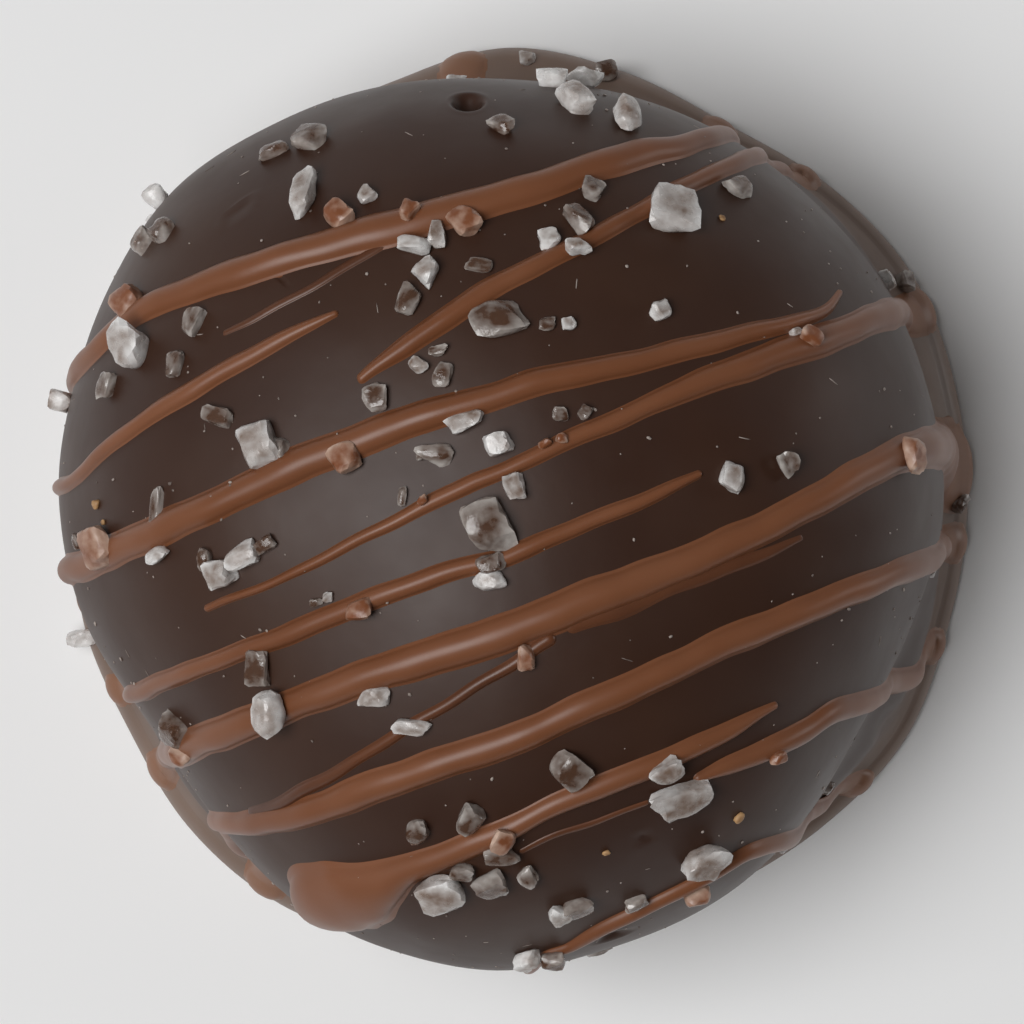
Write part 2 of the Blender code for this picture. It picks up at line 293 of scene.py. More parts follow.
def set_chocolate_group():
    """How set chocolate varies: a second tone, a paler tone low down that is bloom and painted light,
    uneven gloss, low relief.
    """
    group, entry, exit_node = new_group(
        "set chocolate",
        (("Tone", "NodeSocketColor", (0.03, 0.013, 0.007, 1.0)),
         ("Second Tone", "NodeSocketColor", (0.04, 0.018, 0.01, 1.0)),
         ("Bloom And Painted Light Tone", "NodeSocketColor", (0.1, 0.07, 0.06, 1.0)),
         ("Gloss Low", "NodeSocketFloat", 0.3),
         ("Gloss High", "NodeSocketFloat", 0.42)),
        (("Colour", "NodeSocketColor"), ("Roughness", "NodeSocketFloat"), ("Relief", "NodeSocketFloat")))
    place = group.nodes.new("ShaderNodeTexCoord").outputs["Object"]
    split_place = group.nodes.new("ShaderNodeSeparateXYZ")
    group.links.new(place, split_place.inputs["Vector"])
    share = ranged(group, noise_node(group, place, 160.0, 3.0), 0.35, 0.65, 0.0, 1.0)
    toned = blended(group, share, entry.outputs["Tone"], entry.outputs["Second Tone"])
    uneven = ranged(group, noise_node(group, place, 130.0, 3.0), 0.3, 0.7, -1.2 * MM, 1.2 * MM)
    height = group.nodes.new("ShaderNodeMath")
    height.operation = "ADD"
    group.links.new(split_place.outputs["Z"], height.inputs[0])
    group.links.new(uneven, height.inputs[1])
    # The paler tone low down: bloom, and painted light for the light reflected onto the foot and lower
    # wall.
    low_down = ranged(group, height.outputs[0], PALE_BLOOM_AND_LIGHT_TOP_Z * MM, PALE_BLOOM_AND_LIGHT_FULL_Z * MM, 0.0, 1.0)
    colour = blended(group, low_down, toned, entry.outputs["Bloom And Painted Light Tone"])
    fine = noise_node(group, place, 900.0, 4.0)
    gloss = ranged(group, noise_node(group, place, 240.0, 3.0), 0.3, 0.7,
                   entry.outputs["Gloss Low"], entry.outputs["Gloss High"])
    relief = group.nodes.new("ShaderNodeMath")
    relief.operation = "MULTIPLY_ADD"
    group.links.new(fine, relief.inputs[0])
    relief.inputs[1].default_value = 0.25
    group.links.new(noise_node(group, place, 300.0, 2.0), relief.inputs[2])
    group.links.new(colour, exit_node.inputs["Colour"])
    group.links.new(gloss, exit_node.inputs["Roughness"])
    group.links.new(relief.outputs[0], exit_node.inputs["Relief"])
    return group


SET_CHOCOLATE = set_chocolate_group()


def chocolate(name, tone, second, bloom_and_painted_light, gloss, relief_mm):
    """A set chocolate: its tones and its paler low tone (bloom and painted light), (low, high)
    roughness, and its relief.
    """
    made = bpy.data.materials.new(name)
    made.use_nodes = True
    tree = made.node_tree
    shader = tree.nodes["Principled BSDF"]
    varied = tree.nodes.new("ShaderNodeGroup")
    varied.node_tree = SET_CHOCOLATE
    varied.inputs["Tone"].default_value = tone
    varied.inputs["Second Tone"].default_value = second
    varied.inputs["Bloom And Painted Light Tone"].default_value = bloom_and_painted_light
    varied.inputs["Gloss Low"].default_value = gloss[0]
    varied.inputs["Gloss High"].default_value = gloss[1]
    bump = tree.nodes.new("ShaderNodeBump")
    bump.inputs["Strength"].default_value = 1.0
    bump.inputs["Distance"].default_value = relief_mm * MM
    tree.links.new(varied.outputs["Relief"], bump.inputs["Height"])
    tree.links.new(varied.outputs["Colour"], shader.inputs["Base Color"])
    tree.links.new(varied.outputs["Roughness"], shader.inputs["Roughness"])
    tree.links.new(bump.outputs["Normal"], shader.inputs["Normal"])
    shader.inputs["IOR"].default_value = 1.42
    shader.inputs["Subsurface Weight"].default_value = 0.05
    shader.inputs["Subsurface Scale"].default_value = 0.001
    shader.inputs["Subsurface Radius"].default_value = (1.0, 0.45, 0.25)
    return made


# The third colour is the pale tone low down: bloom, and painted light reflected from the board onto the
# foot.
shell_finish = chocolate("dark chocolate", linear(54, 31, 20), linear(60, 37, 25),
                         linear(128, 109, 98), (0.42, 0.52), 0.04)
shell_points, shell_faces = coat_mesh()
shell = mesh_piece("dark_shell", shell_points, shell_faces, shell_finish)
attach(shell, "root")
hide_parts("shell")


# Milk chocolate drizzle. Thin milk chocolate fell from a nozzle that swung across the sweet, so
# the strands lie side by side as low half-round ridges that thin out at their ends, run down
# the wall and settle in small pools on the foot. They wet the coat and set bonded to it.

RIDGE_FULL_HEIGHT = 1.1  # the most that a very wide ridge stands
RIDGE_LEVELLING = 2.2  # the width at which a ridge has about two thirds of that height
POOL_TOP_Z = 6.0
POOL_FLATNESS = 0.5  # how high a pool on the foot stands, against a ridge of its width
NOSE_SHARE = 0.55  # a rounded end's length, against the strand's width there
NOSE_STATIONS = 7
STATION_STEP = 0.24
SECTION_SIDES = 12
# The section of a strand, from one wetted edge to the other: across as a share of its half width,
# and up as a share of its height. The flanks run out softly into the coat.
WETTED_EDGE = ((-1.24, -0.16), (-1.16, 0.0), (-1.04, 0.07))
CREST = [(-math.cos(turn), math.sin(turn) ** 1.25)
         for turn in np.linspace(0.09, 0.91, SECTION_SIDES + 1) * math.pi]
SECTION = WETTED_EDGE + tuple(CREST) + tuple((-across, up) for across, up in reversed(WETTED_EDGE))
# Each strand: its map points and widths, in the order in which the nozzle laid them.
STRANDS = {
    "drizzle_01": ((wall(167, 3.2), 0.7), (wall(165, 8.0), 0.95), (crown(-16.5, 6.2), 1.0),
                   (crown(-13.8, 8.0), 1.1), (crown(-9.4, 9.5), 1.25), (crown(-4.8, 10.7), 1.4),
                   (crown(-1.0, 11.65), 1.4), (crown(2.0, 12.6), 1.35), (crown(5.1, 13.8), 1.25),
                   (crown(7.3, 14.4), 1.0), (wall(59, 11.0), 0.9), (wall(60, 6.0), 0.9),
                   (wall(61, 2.6), 1.2), (wall(61, 1.2), 1.8)),
    "drizzle_02": ((wall(179, 5.5), 0.45), (wall(177.5, 9.0), 0.55), (crown(-17.2, 1.2), 0.6),
                   (crown(-15.7, 2.3), 0.65), (crown(-12.5, 4.4), 0.7), (crown(-9.3, 6.2), 0.65),
                   (crown(-6.4, 7.6), 0.25)),
    "drizzle_03": ((crown(-5.6, 4.9), 0.35), (crown(-3.3, 6.6), 0.8), (crown(-0.3, 8.5), 0.8),
                   (crown(2.8, 10.1), 0.7), (crown(5.1, 11.5), 0.65), (crown(8.3, 13.3), 0.75),
                   (crown(9.5, 13.9), 0.8), (wall(54, 11.0), 0.8), (wall(51, 6.0), 0.85),
                   (wall(49, 2.6), 1.2), (wall(48, 1.2), 1.8)),
    "drizzle_04": ((wall(192, 1.2), 1.8), (wall(191, 2.6), 1.3), (wall(189.5, 6.0), 1.05),
                   (wall(188, 11.0), 1.05), (crown(-16.4, -2.0), 1.1), (crown(-12.8, -0.5), 1.15),
                   (crown(-7.8, 1.8), 1.2), (crown(-4.0, 3.3), 1.1), (crown(0.5, 4.6), 0.95),
                   (crown(5.0, 5.7), 0.85), (crown(8.8, 6.7), 0.7), (crown(10.8, 7.2), 0.55),
                   (crown(12.1, 7.7), 0.4), (crown(12.9, 8.5), 0.25)),
    "drizzle_05": ((crown(-11.5, -3.7), 0.25), (crown(-7.8, -2.2), 0.35),
                   (crown(-5.1, -0.8), 0.42), (crown(-2.5, 0.5), 0.55), (crown(0.5, 1.8), 0.6),
                   (crown(3.5, 3.2), 0.65), (crown(6.9, 4.7), 0.85), (crown(10.4, 6.0), 1.05),
                   (crown(13.6, 7.2), 1.1), (wall(27, 11.0), 1.1), (wall(26.5, 6.0), 1.25),
                   (wall(26, 2.6), 1.8), (wall(26, 1.1), 2.2)),
    "drizzle_06": ((wall(204, 1.2), 1.5), (wall(205, 2.6), 1.0), (wall(206, 6.0), 0.7),
                   (wall(206, 11.0), 0.65), (crown(-13.4, -6.6), 0.7), (crown(-9.8, -5.2), 0.7),
                   (crown(-6.3, -3.8), 0.75), (crown(-3.3, -2.6), 0.7), (crown(-0.6, -1.8), 0.65),
                   (crown(2.0, -0.8), 0.6), (crown(5.0, 0.4), 0.55), (crown(7.4, 1.5), 0.25)),
    "drizzle_07": ((wall(217, 1.2), 1.8), (wall(216.5, 2.6), 1.4), (wall(215.5, 6.5), 1.1),
                   (wall(215.5, 11.5), 1.1), (crown(-11.9, -8.9), 1.15), (crown(-8.6, -7.5), 1.15),
                   (crown(-5.5, -6.3), 1.2), (crown(-1.0, -4.8), 1.3), (crown(2.0, -3.7), 1.35),
                   (crown(5.0, -2.6), 1.3), (crown(8.8, -1.1), 1.2), (crown(11.9, 0.5), 1.1),
                   (crown(15.2, 2.2), 1.3), (wall(8.5, 11.5), 1.9), (wall(7.5, 6.0), 2.8),
                   (wall(6.0, 2.6), 3.6), (wall(5.5, 0.8), 3.8)),
    "drizzle_08": ((wall(238, 1.2), 2.2), (wall(236, 2.6), 1.6), (wall(231, 6.5), 1.0),
                   (wall(227, 11.5), 0.95), (crown(-11.0, -12.2), 0.95), (crown(-7.9, -11.5), 1.1),
                   (crown(-4.8, -10.3), 1.2), (crown(-1.8, -9.2), 1.2), (crown(1.2, -8.1), 1.1),
                   (crown(4.2, -6.8), 1.1), (crown(7.3, -5.4), 1.15), (crown(10.4, -4.2), 1.1),
                   (crown(13.6, -2.9), 1.1), (crown(15.6, -2.2), 1.1), (wall(355, 10.0), 1.1),
                   (wall(355.5, 5.5), 1.15), (wall(356, 2.6), 1.4), (wall(356, 1.2), 1.7)),
    "drizzle_09": ((crown(-7.9, -15.2), 1.4), (crown(-7.3, -15.2), 2.9), (crown(-6.6, -14.9), 3.7),
                   (crown(-5.8, -14.6), 3.3), (crown(-5.0, -14.2), 2.3), (crown(-4.1, -13.7), 1.5),
                   (crown(-3.1, -13.3), 1.15), (crown(-1.0, -12.4), 1.0), (crown(1.6, -11.2), 0.9),
                   (crown(5.0, -9.8), 0.9), (crown(8.3, -8.4), 0.75), (crown(10.4, -7.4), 0.3)),
    "drizzle_10": ((crown(7.1, -10.2), 0.35), (crown(8.9, -9.5), 0.85), (crown(11.4, -8.5), 1.0),
                   (crown(13.2, -7.6), 1.05), (wall(334.5, 12.0), 1.05), (wall(337, 7.5), 1.05),
                   (wall(340, 4.0), 1.1), (wall(342, 2.4), 1.3), (wall(343, 1.2), 1.6)),
    "drizzle_11": ((wall(272, 10.5), 0.4), (crown(1.3, -17.6), 0.55), (crown(2.6, -17.0), 0.65),
                   (crown(4.6, -15.8), 0.8), (crown(8.2, -13.8), 0.85), (crown(9.9, -13.0), 0.9),
                   (wall(313, 11.5), 0.9), (wall(317, 6.0), 0.9), (wall(321, 2.8), 1.1),
                   (wall(323, 1.2), 1.5)),
    "drizzle_12": ((wall(101, 9.5), 0.4), (wall(99.5, 6.5), 0.75), (wall(97, 3.2), 1.4),
                   (wall(95, 1.1), 2.4)),
}


def smooth_route(knots, per_span=40):
    """Map points and widths along a smooth curve through a strand's knots."""
    knots = np.array([(u, v, width) for (u, v), width in knots])
    padded = np.vstack((2 * knots[0] - knots[1], knots, 2 * knots[-1] - knots[-2]))
    f = (np.arange(per_span) / per_span)[:, None]
    spans = []
    for a, b, c, d in zip(padded, padded[1:], padded[2:], padded[3:]):
        bend = 2 * a - 5 * b + 4 * c - d + f * (3 * b - a - 3 * c + d)
        spans.append(b + 0.5 * f * (c - a + f * bend))
    return np.vstack(spans + [knots[-1:]])


def wavering(dice, stops, wavelength, size):
    """A slow random wave along a strand: a sum of three sines near one wavelength."""
    total = np.zeros(len(stops))
    for factor in (0.6, 1.0, 1.7):
        total += np.sin(stops * 2 * math.pi / (wavelength * factor) + dice.uniform(0, 6.28))
    return total * size / 3


def ridge_mesh(knots, seed, wobble=0.05, flat=1.0):
    """Points and faces of one strand: soft-flanked sections along its route, noses at its ends."""
    dice = np.random.default_rng(seed)
    route = smooth_route(knots)
    path = surface(route[:, 0], route[:, 1])
    way = np.concatenate(([0.0], np.cumsum(np.linalg.norm(np.diff(path, axis=0), axis=1))))
    stops = np.arange(0.0, way[-1], STATION_STEP)
    noses = NOSE_SHARE * route[0, 2], NOSE_SHARE * route[-1, 2]
    curl = 1 - np.cos(np.linspace(0.05, 1.0, NOSE_STATIONS) * math.pi / 2)
    middle = stops[(stops > noses[0] * 1.05) & (stops < way[-1] - noses[1] * 1.05)]
    stops = np.concatenate((curl * noses[0], middle, way[-1] - (curl * noses[1])[::-1]))
    u, v, width = (np.interp(stops, way, route[:, k]) for k in range(3))
    share = np.sqrt(1 - (1 - np.clip(stops / noses[0], 0, 1)) ** 2)
    share = share * np.sqrt(1 - (1 - np.clip((way[-1] - stops) / noses[1], 0, 1)) ** 2)
    width = width * share * (1 + wavering(dice, stops, 3.2, 0.04) + wavering(dice, stops, 9.0, 0.07))
    ridge = flat * RIDGE_FULL_HEIGHT * (1 - np.exp(-width / RIDGE_LEVELLING)) * share ** 0.5
    ridge *= 1 + wavering(dice, stops, 5.3, 0.07)
    shift = wavering(dice, stops, 5.0, wobble) * share

    at, along_u, along_v, normal = grip(u, v)
    settled = np.clip((POOL_TOP_Z - at[:, 2]) / (POOL_TOP_Z - FOOT_TOP_Z), 0.0, 1.0)
    ridge *= 1 - (1 - POOL_FLATNESS) * settled
    forward = np.gradient(at, axis=0)
    side = np.cross(normal, forward)
    side /= np.linalg.norm(side, axis=1, keepdims=True)
    uu, uv, vv = ((along_u * along_u).sum(1), (along_u * along_v).sum(1), (along_v * along_v).sum(1))
    su, sv = (side * along_u).sum(1), (side * along_v).sum(1)
    span = uu * vv - uv * uv
    du, dv = (su * vv - sv * uv) / span, (sv * uu - su * uv) / span

    rings = []
    for across, up in SECTION:
        half = across * width / 2 + shift
        foot, _, _, outward = grip(u + half * du, v + half * dv)
        rings.append(foot + outward * (ridge * up)[:, None])
    points = np.stack(rings, axis=1).reshape(-1, 3)
    sides = len(SECTION)
    last = (len(stops) - 1) * sides
    faces = [tuple(reversed(range(sides))), tuple(last + k for k in range(sides))]
    for i in range(len(stops) - 1):
        for k in range(sides):
            m = (k + 1) % sides
            faces.append((i * sides + k, i * sides + m, (i + 1) * sides + m, (i + 1) * sides + k))
    return points, faces


# The third colour is the pale tone low down: bloom, and painted light reflected from the board onto the
# pools.
milk_finish = chocolate("milk chocolate", linear(124, 78, 52), linear(114, 69, 43),
                        linear(138, 102, 82), (0.32, 0.44), 0.03)
for number, (node, knots) in enumerate(STRANDS.items()):
    strand_points, strand_faces = ridge_mesh(knots, 100 + number)
    strand = mesh_piece("milk_" + node, strand_points, strand_faces, milk_finish)
    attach(strand, "root")
    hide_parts(node)


# Fine threads. As the nozzle's stream broke, hair-thin threads of the same milk chocolate fell
# between the strands, joined them at a slant and smeared thin films beside them. They are low
# and thin, so they look darker than the strands.

# Each thread: its knots, and how high it stands against a full ridge of its width.
THREADS = (
    (((crown(-10.9, 6.8), 0.2), (crown(-9.4, 7.6), 0.3), (crown(-7.8, 8.4), 0.32),
      (crown(-6.2, 9.3), 0.32), (crown(-4.4, 10.4), 0.35)), 0.5),
    (((crown(-9.9, -11.6), 0.45), (crown(-8.3, -10.9), 0.5), (crown(-5.6, -9.3), 0.42),
      (crown(-2.5, -7.3), 0.4), (crown(0.5, -5.5), 0.42), (crown(1.8, -4.6), 0.5)), 0.8),
    (((crown(2.2, -4.3), 0.5), (crown(4.4, -3.6), 0.6), (crown(6.6, -2.8), 0.55),
      (crown(9.2, -1.8), 0.45), (crown(11.3, -1.0), 0.2)), 0.35),
    (((crown(0.5, -12.9), 0.2), (crown(2.0, -12.2), 0.26), (crown(3.5, -11.7), 0.26),
      (crown(5.4, -11.0), 0.2)), 0.4),
    (((crown(-5.6, 5.0), 0.12), (crown(-4.6, 5.6), 0.25), (crown(-3.4, 6.3), 0.3)), 0.4),
)


def ridges_mesh(ridges, seed, wobble):
    """Several low ridges, each (knots, how flat), as the points and faces of one mesh."""
    points, faces, start = [], [], 0
    for number, (knots, flat) in enumerate(ridges):
        some_points, some_faces = ridge_mesh(knots, seed + number, wobble, flat)
        points.append(some_points)
        faces += [tuple(start + k for k in face) for face in some_faces]
        start += len(some_points)
    return np.vstack(points), faces


# The third colour is the pale tone low down: bloom, and painted light reflected from the board.
thread_finish = chocolate("thin milk chocolate", linear(100, 60, 38), linear(78, 46, 30),
                          linear(100, 70, 54), (0.3, 0.4), 0.03)
thread_points, thread_faces = ridges_mesh(THREADS, 200, 0.08)
threads = mesh_piece("milk_threads", thread_points, thread_faces, thread_finish)
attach(threads, "root")


# Coarse salt. Broken crystals of sea salt were strewn while the coat was tacky, so each sits a
# little sunk in it. Three kinds show: dense white pieces, half-clear pieces with the chocolate
# showing through, and pieces that the drizzle ran over and coated.

# Each grain: map point, length, width, height, turn of its long side seen from above.
WHITE_GRAINS = (
    (crown(2.6, 15.7), 2.2, 1.2, 1.2, 95), (crown(1.8, 16.7), 1.3, 1.0, 1.0, 160),
    (wall(80, 12.6), 1.4, 0.9, 1.0, 25), (crown(4.6, 15.1), 1.9, 1.25, 1.1, 80),
    (crown(6.2, 11.3), 2.5, 2.1, 1.5, 70), (crown(-10.7, -2.3), 1.5, 1.3, 1.1, 20),
    (crown(-9.9, -1.6), 1.7, 1.0, 1.0, 28), (crown(-8.6, -7.4), 2.0, 1.5, 1.3, 85),
    (crown(7.5, -13.2), 1.9, 1.7, 1.3, 150), (crown(-2.5, -14.2), 2.4, 1.6, 1.3, 22),
    (crown(-9.3, 2.5), 2.1, 1.9, 1.2, 110), (crown(-3.5, 10.0), 1.4, 0.8, 0.9, 165),
    (crown(-3.0, 9.0), 1.1, 1.0, 0.9, 40), (crown(-7.7, 12.1), 2.3, 1.1, 1.0, 100),
    (crown(6.6, -10.8), 2.6, 1.4, 1.1, 8), (crown(-14.3, 6.2), 1.8, 1.6, 1.4, 60),
    (crown(2.3, 7.0), 0.6, 0.55, 0.5, 0), (crown(5.8, 7.6), 0.95, 0.9, 0.6, 30),
    (crown(-3.3, 5.5), 0.85, 0.7, 0.5, 140), (crown(-1.5, 3.4), 1.6, 0.8, 0.7, 22),
    (crown(-0.3, 2.5), 1.2, 1.1, 0.8, 15), (crown(0.3, 0.9), 1.1, 0.9, 0.8, 100),
    (crown(-0.6, -2.55), 1.2, 0.8, 0.7, 10), (crown(8.5, 1.3), 1.25, 1.0, 0.8, 75),
    (crown(-13.2, -1.6), 1.15, 0.65, 0.7, 18), (crown(-6.7, -3.2), 0.5, 0.45, 0.4, 0),
    (crown(-4.9, -6.9), 1.35, 0.85, 0.7, 5), (crown(-3.5, -8.0), 1.6, 0.7, 0.6, 178),
    (crown(5.9, -9.6), 1.5, 1.1, 0.8, 25), (crown(2.0, -15.4), 1.1, 1.0, 0.8, 160),
    (crown(-5.3, 12.0), 0.9, 0.75, 0.6, 120), (crown(-2.6, 10.4), 1.3, 0.65, 0.7, 85),
    (crown(1.6, 10.2), 1.0, 0.8, 0.7, 30), (crown(2.5, 9.8), 0.9, 0.7, 0.6, 15),
    (crown(10.9, 6.8), 0.5, 0.4, 0.5, 20), (wall(87.5, 2.0), 0.75, 0.7, 0.6, 0),
    (crown(0.8, -17.3), 1.3, 1.0, 0.9, 80), (wall(166, 12.0), 1.0, 0.8, 1.3, 80),
    (wall(138, 12.6), 1.0, 0.8, 1.2, 50), (wall(196.5, 1.4), 1.5, 0.8, 1.2, 15),
)
CLEAR_GRAINS = (
    (crown(-11.3, -1.8), 1.2, 0.6, 0.7, 95), (crown(-9.1, -1.2), 1.0, 0.7, 0.6, 30),
    (crown(-0.6, -14.0), 1.6, 1.2, 1.0, 35), (crown(-1.7, -13.5), 1.0, 0.8, 0.8, 10),
    (crown(-8.6, 2.4), 0.9, 0.8, 0.7, 70), (crown(-3.7, 7.9), 1.4, 0.9, 0.7, 60),
    (crown(-0.8, -0.5), 2.2, 1.9, 1.2, 110), (crown(-0.4, 7.2), 2.1, 1.7, 0.9, 20),
    (crown(-7.6, 14.3), 1.6, 1.4, 1.0, 150), (crown(-9.0, 13.9), 1.5, 0.7, 0.7, 20),
    (crown(-1.0, 9.2), 1.2, 0.7, 0.4, 160), (crown(3.2, 12.2), 1.1, 1.0, 0.7, 70),
    (crown(2.7, 11.0), 1.5, 0.9, 0.8, 130), (crown(8.9, 12.5), 1.2, 1.1, 0.8, 40),
    (crown(1.5, 7.0), 0.8, 0.65, 0.4, 0), (crown(-2.6, 6.0), 0.8, 0.45, 0.4, 0),
    (crown(-2.4, 5.1), 1.2, 0.9, 0.5, 70), (crown(-4.9, 4.3), 1.2, 1.0, 0.6, 100),
    (crown(-12.0, 7.3), 1.4, 0.8, 0.7, 75), (crown(-12.7, 5.6), 1.3, 0.8, 0.6, 85),
    (crown(-15.4, 4.9), 1.3, 1.0, 0.7, 100), (crown(-10.9, 3.6), 1.4, 0.85, 0.6, 170),
    (crown(-2.6, 2.2), 1.5, 0.85, 0.5, 175), (crown(-3.2, 2.1), 0.5, 0.4, 0.4, 0),
    (crown(2.0, 3.6), 0.7, 0.6, 0.35, 0), (crown(2.9, 3.7), 0.7, 0.6, 0.5, 60),
    (crown(-3.9, 0.6), 0.9, 0.4, 0.35, 85), (crown(-0.6, -1.9), 1.2, 0.9, 0.6, 20),
    (crown(10.6, 1.8), 1.1, 0.8, 0.7, 120), (crown(-13.3, 0.0), 2.3, 0.55, 0.5, 80),
    (crown(-16.7, -1.1), 0.8, 0.6, 0.6, 60), (crown(-7.2, -3.4), 0.6, 0.4, 0.35, 20),
    (crown(-9.4, -5.8), 1.7, 1.2, 0.8, 80), (crown(-12.7, -8.4), 1.7, 1.5, 1.0, 50),
    (crown(2.3, -9.6), 1.8, 1.5, 1.0, 140), (crown(-3.3, -12.0), 1.1, 1.0, 0.8, 40),
    (crown(-1.3, -11.5), 1.5, 1.1, 0.9, 60), (crown(-0.2, -12.9), 1.6, 0.9, 0.8, 178),
    (crown(0.8, -13.7), 1.1, 0.85, 0.8, 110), (crown(2.6, -15.2), 1.5, 1.0, 0.8, 15),
    (crown(5.0, -15.1), 1.2, 0.7, 0.6, 25), (crown(-0.2, 14.6), 1.2, 0.75, 0.6, 115),
    (crown(-13.3, 10.9), 1.2, 1.0, 0.8, 70), (crown(-14.1, 10.5), 1.1, 0.9, 0.8, 50),
    (crown(1.7, -17.3), 1.2, 0.9, 0.8, 10), (wall(310, 8.0), 0.9, 0.8, 0.7, 30),
    (wall(30, 2.1), 1.0, 0.85, 0.8, 70), (wall(1, 2.0), 0.85, 0.8, 0.7, 40),
    (wall(77.4, 1.9), 1.2, 1.1, 0.9, 20),
)
COATED_GRAINS = (
    (crown(-6.4, 11.2), 1.4, 1.2, 1.0, 140), (crown(-3.6, 11.1), 1.05, 0.85, 0.8, 70),
    (crown(-1.6, 10.9), 1.7, 1.4, 0.9, 110), (crown(-14.5, 8.1), 1.6, 1.3, 1.1, 20),
    (crown(-6.0, 2.0), 1.4, 1.3, 0.8, 30), (crown(-15.5, -1.3), 2.0, 1.8, 1.0, 120),
    (crown(-5.4, -3.6), 1.3, 1.0, 0.8, 20), (crown(0.7, -5.4), 1.2, 0.85, 0.7, 85),
    (crown(-0.1, -12.1), 1.3, 1.0, 0.9, 60), (crown(7.3, -14.8), 1.4, 0.9, 0.9, 10),
    (crown(11.3, 6.5), 1.15, 0.8, 0.8, 160), (crown(15.1, 2.15), 1.7, 1.15, 0.9, 85),
    (crown(10.1, -9.2), 0.85, 0.5, 0.7, 10), (crown(1.4, 2.5), 0.6, 0.45, 0.6, 30),
    (crown(2.0, 2.7), 0.5, 0.45, 0.6, 0), (crown(-3.1, 0.4), 0.5, 0.4, 0.5, 20),
    (crown(-12.3, -9.2), 1.1, 0.6, 0.7, 15),
)


# A few more grains hit the wall, where they could only cling if they were small.
WALL_GRAIN_COUNT = 16
WHITE_ON_WALL = 8
wall_dice = np.random.default_rng(77)
wall_grains = []
for _ in range(WALL_GRAIN_COUNT):
    place_on_wall = wall(wall_dice.uniform(0, 360), wall_dice.uniform(5.5, 11.5))
    size = wall_dice.uniform(0.5, 1.2)
    wall_grains.append((place_on_wall, size, size * wall_dice.uniform(0.6, 0.9), size * 0.6,
                        wall_dice.uniform(0, 180)))
GRAIN_FULLNESS = 1.12  # makes up for what the chipping takes off a grain's length and width
CHIP_COUNT = 8
CRYSTAL_EDGE_DEGREES = 24  # facets that meet more sharply than this keep a crisp edge
LIFT_ON_DRIZZLE = 0.8  # how much of a strand's height lifts a grain that lies on it


def ball_directions(levels):
    """Unit directions and faces of an evenly divided ball, for shaping lumps."""
    made = bmesh.new()
    bmesh.ops.create_icosphere(made, subdivisions=levels, radius=1.0)
    directions = np.array([v.co for v in made.verts])
    faces = [tuple(v.index for v in f.verts) for f in made.faces]
    made.free()
    return directions / np.linalg.norm(directions, axis=1, keepdims=True), faces


def ripple(at, dice, wavelength):
    """A rough wave over points, between about -1 and 1, from three crossing sines."""
    total = np.zeros(len(at))
    for _ in range(3):
        way = dice.normal(size=3)
        way = way / np.linalg.norm(way) * 2 * math.pi / wavelength
        total += np.sin(at @ way + dice.uniform(0, 2 * math.pi))
    return total / 3


def chipped(directions, dice, crispness):
    """A broken crystal as seen along each direction: six skewed sides and some chipped corners."""
    sides = np.vstack((np.eye(3), -np.eye(3))) + dice.normal(0, 0.18, (6, 3))
    reach = dice.uniform(0.38, 0.49, 6)
    chips = dice.normal(size=(CHIP_COUNT, 3))
    sides = np.vstack((sides, chips))
    sides /= np.linalg.norm(sides, axis=1, keepdims=True)
    reach = np.concatenate((reach, dice.uniform(0.42, 0.58, CHIP_COUNT)))
    facing = np.clip(directions @ sides.T, 0, None) / reach
    body = directions * (facing ** crispness).sum(axis=1)[:, None] ** (-1 / crispness)
    for wavelength, depth in ((0.9, 0.09), (0.42, 0.06), (0.2, 0.025)):
        body = body * (1 - depth + depth * ripple(body, dice, wavelength))[:, None]
    return body


def whiteness(body, dice, middle):
    """How white each point of a grain is: most at its rim and in blotches, least in its middle."""
    rim = ((2 * body[:, :2]) ** 4).sum(axis=1) ** 0.25
    rise = np.clip((rim - 0.5) / 0.35, 0, 1)
    blotches = 0.24 * ripple(body, dice, 0.5) + 0.16 * ripple(body, dice, 0.22)
    return np.clip(middle + 0.6 * rise + blotches, 0, 1)


def seat(u, v, turn):
    """Where a grain sits: point, long direction, cross direction and normal of the coat there."""
    at, _, _, normal = (a[0] for a in grip(np.array([u]), np.array([v])))
    heading = np.array([math.cos(math.radians(turn)), math.sin(math.radians(turn)), 0.0])
    along = heading - normal * (heading @ normal)
    along /= np.linalg.norm(along)
    return at, along, np.cross(normal, along), normal


DRIZZLE_ROUTES = [smooth_route(knots) for knots in STRANDS.values()]


def drizzle_under(u, v):
    """How high the drizzle stands over the coat at a map point, which lifts what lies on it."""
    high = 0.0
    for route in DRIZZLE_ROUTES:
        away = np.hypot(route[:, 0] - u, route[:, 1] - v)
        near = away.argmin()
        width = route[near, 2]
        share = 1 - (2 * away[near] / width) ** 2
        if share > 0:
            high = max(high, RIDGE_FULL_HEIGHT * (1 - math.exp(-width / RIDGE_LEVELLING)) * share ** 0.5)
    return high


def grain_mesh(grains, seed, crispness, sunk, middles, levels=3):
    """All grains of one kind as one mesh's points, faces and whiteness at each point."""
    directions, ball_faces = ball_directions(levels)
    points, faces, white = [], [], []
    for number, ((u, v), length, width, height, turn) in enumerate(grains):
        dice = np.random.default_rng(seed + number)
        at, along, across, normal = seat(u, v, turn)
        body = chipped(directions, dice, crispness)
        white.append(whiteness(body, dice, dice.uniform(*middles)))
        body = body * (length, width, height) * GRAIN_FULLNESS
        lift = height * (0.5 - sunk) + LIFT_ON_DRIZZLE * drizzle_under(u, v)
        points.append(at + normal * lift + body @ np.stack((along, across, normal)))
        faces += [tuple(k + number * len(directions) for k in face) for face in ball_faces]
    return np.vstack(points), faces, np.concatenate(white)


